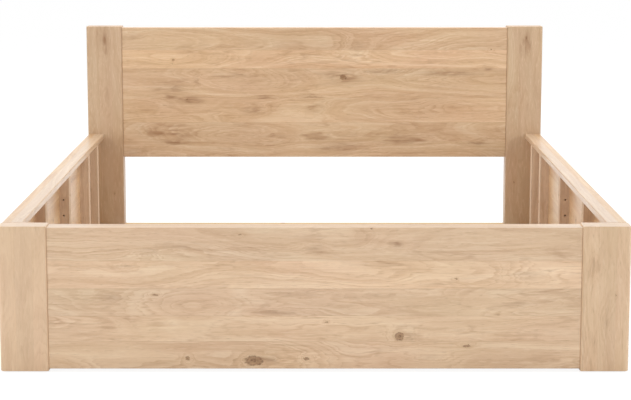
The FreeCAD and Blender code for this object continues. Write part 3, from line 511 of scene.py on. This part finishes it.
HEAD_POST_CLOUDS = (
    (868, -902, 84, 44, 0.3), (822, -890, 60, 30, 0.6), (864, 902, 66, 46, 0.3),
    (824, 892, 60, 34, 0.55), (620, -890, 120, 40, 1.2), (560, 910, 140, 40, 1.2),
)
LEFT_FOOT_POST_CLOUDS = ((280, -915, 100, 40, 1.2),)
RIGHT_FOOT_POST_KNOTS = ((246, 925, 12, 7, 0.6),)
RIGHT_FOOT_POST_CLOUDS = ((160, 900, 110, 50, 1.1), (330, 862, 70, 30, 1.1))
SIDE_BATTEN_KNOTS = (
    (368, 4, 8, 8, 0.0), (247, 545, 9, 8, 0.0), (392, 528, 16, 8, 0.5), (395, -530, 20, 8, 0.6),
)

# Each part's light_matched_saturation, its saturation, is set for the light and shade that part gets:
# painted shade.
footboard_oak = oiled_oak("footboard_oak", GRAIN_ACROSS_BED, FOOT_JOINTS,
                          (0.515, 0.515, 0.491, 0.548, 0.489), pith=1030, knots=FOOTBOARD_KNOTS,
                          clouds=FOOTBOARD_CLOUDS, light_matched_saturation=0.95, polish=1.0)
# The headboard's staves differ in tone at random, and all are also set darker than the footboard's:
# painted shade, as the head end gets less light.
headboard_oak = oiled_oak("headboard_oak", GRAIN_ACROSS_BED, HEAD_JOINTS,
                          (0.436, 0.442, 0.464, 0.458, 0.508, 0.454), start=3.1, pith=1000,
                          knots=HEADBOARD_KNOTS, clouds=HEADBOARD_CLOUDS)
left_side_oak, right_side_oak = [
    oiled_oak(name, GRAIN_ALONG_BED, SIDE_JOINTS, (0.47, 0.48, 0.465, 0.49, 0.475), start=start,
              pith=930, knots=SIDE_KNOTS, stray_knots=1.0, light_matched_saturation=1.11, polish=0.8)
    for name, start in (("left_side_oak", 11.7), ("right_side_oak", 23.9))]
# The head posts' tones are set far darker than the foot posts', though they are the same wood: painted
# shade of the head end.
head_post_oak = oiled_oak("head_post_oak", GRAIN_UPRIGHT, POST_JOINTS,
                          (0.398, 0.390, 0.402, 0.41, 0.398, 0.390, 0.400), start=5.3, pith=1000,
                          knots=HEAD_POST_KNOTS, clouds=HEAD_POST_CLOUDS, light_matched_saturation=0.97,
                          liveliness=0.6, fibres=0.4)
left_foot_post_oak = oiled_oak("left_foot_post_oak", GRAIN_UPRIGHT, POST_JOINTS,
                               (0.512, 0.508, 0.512, 0.5, 0.488, 0.480, 0.494), start=17.2, pith=1000,
                               clouds=LEFT_FOOT_POST_CLOUDS, light_matched_saturation=0.95, polish=1.0,
                               liveliness=0.42, fibres=0.5)
right_foot_post_oak = oiled_oak("right_foot_post_oak", GRAIN_UPRIGHT, POST_JOINTS,
                                (0.512, 0.508, 0.512, 0.5, 0.486, 0.478, 0.490), start=17.2, pith=1000,
                                knots=RIGHT_FOOT_POST_KNOTS, clouds=RIGHT_FOOT_POST_CLOUDS,
                                light_matched_saturation=0.98, polish=1.0, liveliness=0.72)
upright_batten_oak = oiled_oak("upright_batten_oak", GRAIN_UPRIGHT, WHOLE, (0.48,), start=29.0,
                               stray_knots=0.4, ring=2.8, light_matched_saturation=0.95)
side_batten_oak = oiled_oak("side_batten_oak", GRAIN_UPRIGHT_ON_SIDE, BATTEN_JOINTS,
                            (0.485, 0.475, 0.480, 0.475), start=43.0, pith=960, ring=2.8,
                            knots=SIDE_BATTEN_KNOTS, light_matched_saturation=0.76, polish=0.0, liveliness=0.7)
across_strip_oak = oiled_oak("across_strip_oak", GRAIN_ACROSS_BED, WHOLE, (0.5,), start=31.0,
                             stray_knots=0.4, ring=2.8, light_matched_saturation=0.92, polish=1.0)
along_strip_oak = oiled_oak("along_strip_oak", GRAIN_ALONG_BED, WHOLE, (0.485,), start=37.0,
                            stray_knots=0.4, ring=2.8, light_matched_saturation=0.90, polish=1.0)
pine_across = planed_pine("planed_pine_across", GRAIN_ACROSS_BED)
pine_along = planed_pine("planed_pine_along", GRAIN_ALONG_BED_FLAT)
beech = turned_beech("turned_beech")
zinc = zinc_plated_steel("zinc_plated_steel")
nylon = moulded_nylon("moulded_nylon")
felt = pressed_felt("pressed_felt")

# Which finish the CAD parts take, by how their names start. The rest are zinc-plated steel.
PART_FINISHES = (
    ("footboard_panel", footboard_oak),
    ("headboard_panel", headboard_oak),
    ("side_panel_left", left_side_oak),
    ("side_panel_right", right_side_oak),
    ("head_post", head_post_oak),
    ("foot_post_left", left_foot_post_oak),
    ("foot_post_right", right_foot_post_oak),
    (("side_top_strip", "side_bottom_strip"), along_strip_oak),
    ("side_batten", side_batten_oak),
    (("footboard_batten", "headboard_batten"), upright_batten_oak),
    (("footboard_top_strip", "footboard_bottom_strip"), across_strip_oak),
    (("headboard_top_strip", "headboard_bottom_strip"), across_strip_oak),
    (("side_cleat", "centre_beam"), pine_along),
    ("head_low_rail", pine_across),
    (("footboard_dowels", "footboard_strip_dowels", "headboard_dowels"), beech),
    (("low_rail_dowels", "side_dowels"), beech),
    (("centre_foot_insert", "centre_foot_pad"), nylon),
    ("post_glides", felt),
)
for part_name, part in cad_nodes.items():
    part_finish = next((finish for start, finish in PART_FINISHES if part_name.startswith(start)), zinc)
    part.data.materials.clear()
    part.data.materials.append(part_finish)


# ---- Screws and the levelling foot's stem ----------------------------------------------------------

# A countersunk wood screw of 4 mm with a cross recess, and the foot's M10 stem, all in millimetres
HEAD_RADIUS = 4.0
HEAD_RIM = 0.3
HEAD_CONE = 2.2
SCREW_TIP = 5.0
RECESS_LENGTH = 4.6
RECESS_WIDTH = 1.1
RECESS_DEPTH = 2.0
THREAD_PITCH = 1.5
THREAD_ROOT = 4.15
THREAD_CREST = 4.97
HEXAGON_RADIUS = 9.5
HEXAGON_HEIGHT = 5.0
HEXAGON_EDGE = 0.7
# How close two corners are merged into one, and how far each screw is turned on from the last, in
# radians, as screws end up when driven by hand
MERGE = 0.005 * MM
NEXT_TURN = 0.7


def edit_faces(piece, test):
    """Goes into edit mode on one piece, with only the faces selected that the test picks."""
    bpy.ops.object.select_all(action="DESELECT")
    piece.select_set(True)
    bpy.context.view_layer.objects.active = piece
    bpy.ops.object.mode_set(mode="EDIT")
    bpy.ops.mesh.select_mode(type="FACE")
    bpy.ops.mesh.select_all(action="DESELECT")
    bpy.ops.object.mode_set(mode="OBJECT")
    for face in piece.data.polygons:
        face.select = test(face)
    bpy.ops.object.mode_set(mode="EDIT")


def finish_skin(piece, angle):
    """Ends the modelling of a piece: one skin, faces outwards, and soft shading up to so many degrees."""
    edit_faces(piece, lambda face: True)
    bpy.ops.mesh.remove_doubles(threshold=MERGE)
    bpy.ops.mesh.normals_make_consistent(inside=False)
    bpy.ops.object.mode_set(mode="OBJECT")
    bpy.ops.object.shade_smooth_by_angle(angle=math.radians(angle))


def apply_modifier(piece, kind, **settings):
    """Adds a modifier with its settings and makes its shape the piece's own."""
    modifier = piece.modifiers.new(kind.lower(), kind)
    for setting, value in settings.items():
        setattr(modifier, setting, value)
    bpy.ops.object.select_all(action="DESELECT")
    piece.select_set(True)
    bpy.context.view_layer.objects.active = piece
    bpy.ops.object.modifier_apply(modifier=modifier.name)


def cross_recess():
    """The cutter for a cross recess: two crossed blades that taper downwards."""
    blades = []
    for turn in (0, 90):
        bpy.ops.mesh.primitive_cube_add(size=1.0, location=(0, 0, 0))
        blade = bpy.context.object
        blade.scale = (RECESS_LENGTH * MM, RECESS_WIDTH * MM, 2 * RECESS_DEPTH * MM)
        blade.rotation_euler = (0, 0, math.radians(turn))
        bpy.ops.object.transform_apply(location=True, rotation=True, scale=True)
        edit_faces(blade, lambda face: face.normal.z < -0.9)
        bpy.ops.transform.resize(value=(0.45, 0.45, 1.0), center_override=(0, 0, -RECESS_DEPTH * MM))
        bpy.ops.object.mode_set(mode="OBJECT")
        blades.append(blade)
    for blade in blades:
        blade.select_set(True)
    bpy.ops.object.join()
    return bpy.context.object


def countersunk_screw(length):
    """One screw, so many millimetres long, head up at the origin: a disc drawn down and in to the shank
    and the tip."""
    bpy.ops.mesh.primitive_circle_add(vertices=32, radius=HEAD_RADIUS * MM, fill_type="NGON",
                                      location=(0, 0, 0))
    screw = bpy.context.object
    edit_faces(screw, lambda face: True)
    depth = 0.0
    shank = length - (HEAD_RIM + HEAD_CONE + SCREW_TIP)
    for drop, narrowing in ((HEAD_RIM, 1.0), (HEAD_CONE, 0.5), (shank, 0.92), (SCREW_TIP, 0.1)):
        depth -= drop * MM
        bpy.ops.mesh.extrude_region_move(TRANSFORM_OT_translate={"value": (0, 0, -drop * MM)})
        bpy.ops.transform.resize(value=(narrowing, narrowing, 1.0), center_override=(0, 0, depth))
    bpy.ops.object.mode_set(mode="OBJECT")
    finish_skin(screw, 30)
    cutter = cross_recess()
    apply_modifier(screw, "BOOLEAN", operation="DIFFERENCE", object=cutter, solver="EXACT",
                   use_self=True)
    bpy.data.objects.remove(cutter)
    finish_skin(screw, 30)
    return screw


def screw_places(part):
    """The middle of each screw's head and the way it points, read from the CAD part's loose solids."""
    skin = bmesh.new()
    skin.from_mesh(part.data)
    bmesh.ops.remove_doubles(skin, verts=skin.verts, dist=0.001 * MM)
    met = set()
    places = []
    for first in skin.verts:
        if first in met:
            continue
        met.add(first)
        # The solid grows while it is walked through, until no neighbour is new
        solid = [first]
        for corner in solid:
            for edge in corner.link_edges:
                for vertex in edge.verts:
                    if vertex not in met:
                        met.add(vertex)
                        solid.append(vertex)
        low = Vector([min(vertex.co[i] for vertex in solid) for i in range(3)])
        high = Vector([max(vertex.co[i] for vertex in solid) for i in range(3)])
        middle = (low + high) / 2
        # A screw lies along its longest side, and its head is at the end where it is widest
        axis = max(range(3), key=lambda i: high[i] - low[i])
        along = Vector([float(i == axis) for i in range(3)])
        widest = max(solid, key=lambda v: (v.co - middle - (v.co - middle)[axis] * along).length)
        out = along if widest.co[axis] > middle[axis] else -along
        places.append((middle + out * (high[axis] - low[axis]) / 2, out))
    skin.free()
    return places


def drive_screws(part_name, length):
    """Puts a copy of one screw, so many millimetres long, at each place of a CAD part's screws, as one
    piece in its stead."""
    first = countersunk_screw(length)
    row = []
    for number, (head, out) in enumerate(screw_places(cad_nodes[part_name])):
        screw = first.copy()
        screw.data = first.data.copy()
        bpy.context.scene.collection.objects.link(screw)
        screw.rotation_mode = "QUATERNION"
        turned_in = Quaternion((0, 0, 1), NEXT_TURN * number)
        screw.rotation_quaternion = out.to_track_quat("Z", "Y") @ turned_in
        screw.location = head
        row.append(screw)
    bpy.data.objects.remove(first)
    bpy.ops.object.select_all(action="DESELECT")
    for screw in row:
        screw.select_set(True)
    bpy.context.view_layer.objects.active = row[0]
    bpy.ops.object.join()
    bpy.ops.object.transform_apply(location=True, rotation=True, scale=True)
    driven = bpy.context.object
    driven.name = part_name.replace("screws", "cross_screws")
    driven.rotation_mode = "XYZ"
    driven.data.materials.append(zinc)
    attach(driven, "frame")
    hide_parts(part_name)


def threaded_stem():
    """The levelling foot's stem: a rolled thread that stands on a chamfered hexagon."""
    low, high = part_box("centre_foot_stem")
    pitch, root = THREAD_PITCH * MM, THREAD_ROOT * MM
    hexagon_top = low.z + HEXAGON_HEIGHT * MM
    turns = int((high.z - hexagon_top) / pitch)
    start = high.z - (turns + 1) * pitch
    # A circle merged to its middle is one corner, from which the thread's outline is drawn
    bpy.ops.mesh.primitive_circle_add(vertices=3, radius=1 * MM, location=(root, 0, start))
    stem = bpy.context.object
    bpy.ops.object.transform_apply(location=True, rotation=True, scale=True)
    bpy.ops.object.mode_set(mode="EDIT")
    bpy.ops.mesh.select_all(action="SELECT")
    bpy.ops.mesh.merge(type="CENTER")
    bpy.ops.object.mode_set(mode="OBJECT")
    stem.data.vertices[0].co = (root, 0, start)
    bpy.ops.object.mode_set(mode="EDIT")
    bpy.ops.mesh.select_mode(type="VERT")
    bpy.ops.mesh.select_all(action="SELECT")
    # Over one pitch: half the root, a flank, the crest, a flank, and half the root
    height = THREAD_CREST - THREAD_ROOT
    for out, up in ((0.0, 0.15), (height, 0.50), (0.0, 0.20), (-height, 0.50), (0.0, 0.15)):
        bpy.ops.mesh.extrude_region_move(TRANSFORM_OT_translate={"value": (out * MM, 0, up * MM)})
    bpy.ops.object.mode_set(mode="OBJECT")
    apply_modifier(stem, "SCREW", axis="Z", angle=math.tau, steps=28, render_steps=28, iterations=turns,
                   screw_offset=pitch, use_merge_vertices=True, merge_threshold=MERGE)
    edit_faces(stem, lambda face: True)
    bpy.ops.mesh.remove_doubles(threshold=MERGE)
    bpy.ops.mesh.select_all(action="DESELECT")
    bpy.ops.mesh.select_mode(type="EDGE")
    bpy.ops.mesh.select_non_manifold()
    bpy.ops.mesh.fill_holes(sides=0)
    bpy.ops.object.mode_set(mode="OBJECT")
    finish_skin(stem, 25)
    skin = bmesh.new()
    skin.from_mesh(stem.data)
    if skin.calc_volume(signed=True) < 0:
        bmesh.ops.reverse_faces(skin, faces=skin.faces)
        skin.to_mesh(stem.data)
    skin.free()

    bpy.ops.mesh.primitive_cylinder_add(vertices=6, radius=HEXAGON_RADIUS * MM,
                                        depth=HEXAGON_HEIGHT * MM,
                                        location=(0, 0, low.z + HEXAGON_HEIGHT / 2 * MM),
                                        rotation=(0, 0, math.radians(30)))
    hexagon = bpy.context.object
    bpy.ops.object.transform_apply(location=True, rotation=True, scale=True)
    edit_faces(hexagon, lambda face: abs(face.normal.z) > 0.9)
    bpy.ops.mesh.bevel(offset=HEXAGON_EDGE * MM, segments=3, affect="EDGES")
    bpy.ops.object.mode_set(mode="OBJECT")
    finish_skin(hexagon, 30)
    stem.select_set(True)
    bpy.context.view_layer.objects.active = stem
    bpy.ops.object.join()
    stem.name = "threaded_foot_stem"
    stem.data.materials.append(zinc)
    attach(stem, "centre_foot")
    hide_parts("centre_foot_stem")


drive_screws("headboard_screws", 55)
drive_screws("cleat_screws", 50)
drive_screws("hanger_screws", 25)
threaded_stem()


# ---- Floor, light and camera -----------------------------------------------------------------------

# How strongly the white room lights the bed, how bright the paper floor's own glow is, and how much of
# the floor's look that glow is to the camera
ROOM_LIGHT = 0.46
PAPER_GLOW = 1.25
PAPER_GLOW_SHARE = 0.70
# The camera stands before the foot end and looks down a little, in metres and degrees
CAMERA_PLACE = (0.0, -6.061, 1.429)
CAMERA_DIP = 7.927


def studio_floor():
    """Smooth white paper: it looks white where the light falls fully and keeps the bed's shadow."""
    material, node = blank("studio_paper")
    paper = node("BsdfDiffuse", {"Color": srgb("#F2F2F2")})
    seen = node("LightPath")
    glow = node("Emission", {"Color": grey(1.0), "Strength": PAPER_GLOW})
    share = node("Math", {0: seen.outputs["Is Camera Ray"], 1: PAPER_GLOW_SHARE}, operation="MULTIPLY")
    look = node("MixShader", {0: share, 1: paper, 2: glow})
    node("OutputMaterial", {"Surface": look})
    bpy.ops.mesh.primitive_plane_add(size=160.0, location=(0, 0, 0))
    floor = bpy.context.object
    floor.name = "studio_floor"
    floor.data.materials.append(material)


def studio_world():
    """A white room: seen and mirrored as white, and lighting the bed evenly from all round."""
    world = bpy.data.worlds.new("studio_world")
    world.use_nodes = True
    world.node_tree.nodes.clear()
    node = functools.partial(add, world.node_tree)
    seen = node("LightPath")
    direct = node("Math", {0: seen.outputs["Is Camera Ray"], 1: seen.outputs["Is Glossy Ray"]},
                  operation="MAXIMUM")
    direct = node("Math", {0: direct, 1: seen.outputs["Is Transmission Ray"]}, operation="MAXIMUM")
    room = node("Background", {"Color": grey(1.0), "Strength": ROOM_LIGHT})
    white = node("Background", {"Color": grey(1.0), "Strength": 1.0})
    look = node("MixShader", {0: direct, 1: room, 2: white})
    node("OutputWorld", {"Surface": look})
    bpy.context.scene.world = world


def softbox(name, place, width, height, power, aim=(0, 0, 0.3)):
    """A large soft lamp that points at the bed. Sizes are in metres, and its power is in watts."""
    lamp = bpy.data.lights.new(name, "AREA")
    lamp.shape = "RECTANGLE"
    lamp.size = width
    lamp.size_y = height
    lamp.energy = power
    stand = bpy.data.objects.new(name, lamp)
    stand.location = place
    stand.rotation_euler = (Vector(aim) - Vector(place)).to_track_quat("-Z", "Y").to_euler()
    stand.visible_glossy = False
    bpy.context.scene.collection.objects.link(stand)


studio_floor()
studio_world()
softbox("overhead_softbox", (0.0, 1.3, 4.4), width=4.0, height=3.0, power=140.0, aim=(0, 0.2, 0.3))
softbox("front_softbox", (0.0, -6.6, 0.75), width=5.0, height=0.9, power=95.0, aim=(0, 0, 0.6))
softbox("left_softbox", (-4.8, -1.3, 2.3), width=2.6, height=2.6, power=88.0)
softbox("right_softbox", (4.8, -1.3, 2.3), width=2.6, height=2.6, power=80.0)
softbox("rear_softbox", (0.8, 6.0, 3.0), width=3.6, height=2.4, power=60.0)

eye = bpy.data.cameras.new("camera")
eye.lens = 94.9
eye.sensor_width = 36.0
eye.shift_x = 0.0016
eye.shift_y = -0.10
camera = bpy.data.objects.new("camera", eye)
camera.location = CAMERA_PLACE
camera.rotation_euler = (math.radians(90 - CAMERA_DIP), 0.0, 0.0)
bpy.context.scene.collection.objects.link(camera)
bpy.context.scene.camera = camera
bpy.context.scene.view_settings.view_transform = "Standard"
